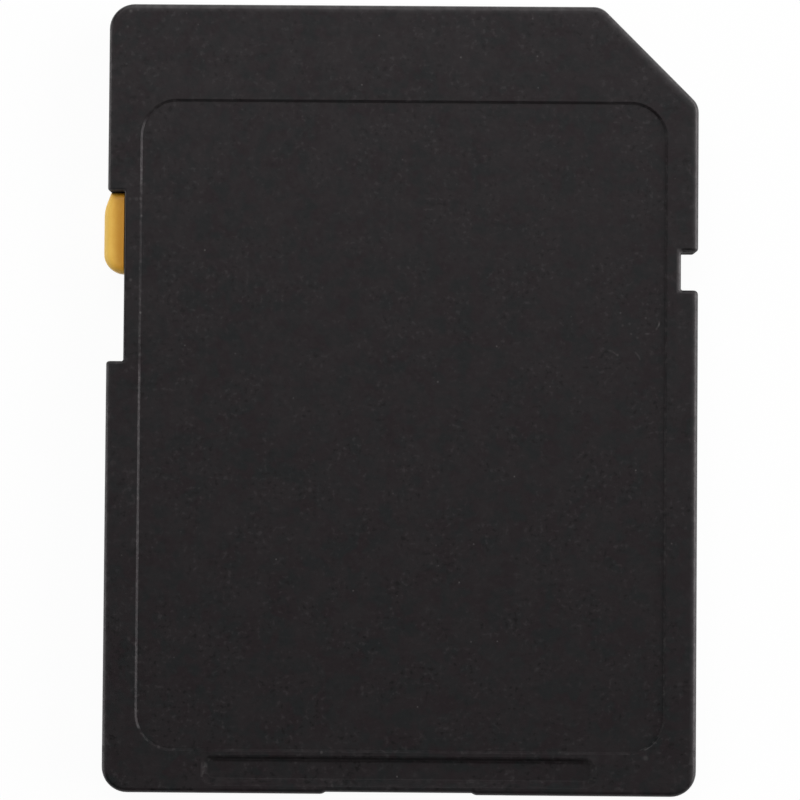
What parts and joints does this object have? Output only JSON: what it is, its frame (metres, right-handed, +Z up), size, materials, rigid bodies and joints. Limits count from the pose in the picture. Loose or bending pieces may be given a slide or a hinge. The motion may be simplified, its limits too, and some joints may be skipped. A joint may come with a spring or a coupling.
{
  "type": "flash memory card",
  "caption": "Thin rectangular flash memory card with a keyed corner, a bare label recess, recessed edge contacts and a sliding write-protect tab on one side.",
  "frame": {"origin": "centre of the card's plan, on its back face", "axes": "+X across the card towards the latch notch, +Y towards the contact end, +Z up to the label face"},
  "size_m": [0.0242, 0.032, 0.0021],
  "materials": {
    "case_black": "matt moulded black with a fine spark-eroded grain",
    "slider_yellow": "satin moulded yellow",
    "board_green": "green solder mask over glass-epoxy laminate",
    "contact_gold": "thin gold plating, lightly scuffed along the insertion path",
    "chip_epoxy": "matt moulding compound",
    "tinned_lead": "tin-plated lead frame",
    "capacitor_ceramic": "fired tan ceramic with tinned end caps",
    "resistor_ceramic": "dark glazed film on ceramic with tinned end caps"
  },
  "bodies": {
    "card": {"capacitor_1": "capacitor_ceramic", "capacitor_2": "capacitor_ceramic", "capacitor_3": "capacitor_ceramic", "capacitor_4": "capacitor_ceramic", "capacitor_5": "capacitor_ceramic", "capacitor_6": "capacitor_ceramic", "circuit_board": "board_green", "contact_pad_1": "contact_gold", "contact_pad_2": "contact_gold", "contact_pad_3": "contact_gold", "contact_pad_4": "contact_gold", "contact_pad_5": "contact_gold", "contact_pad_6": "contact_gold", "contact_pad_7": "contact_gold", "contact_pad_8": "contact_gold", "contact_pad_9": "contact_gold", "controller_chip": "chip_epoxy", "flash_memory_chip": "chip_epoxy", "flash_memory_leads": "tinned_lead", "front_shell": "case_black", "rear_shell": "case_black", "resistor_1": "resistor_ceramic", "resistor_2": "resistor_ceramic", "resistor_3": "resistor_ceramic", "resistor_4": "resistor_ceramic", "resistor_5": "resistor_ceramic"},
    "slider": {"write_protect_slider": "slider_yellow"}
  },
  "joints": [
    {"name": "write_protect_slide", "type": "slide", "parent": "card", "child": "slider", "axis": [0, -1, 0], "range_m": [0, 0.00355]}
  ]
}
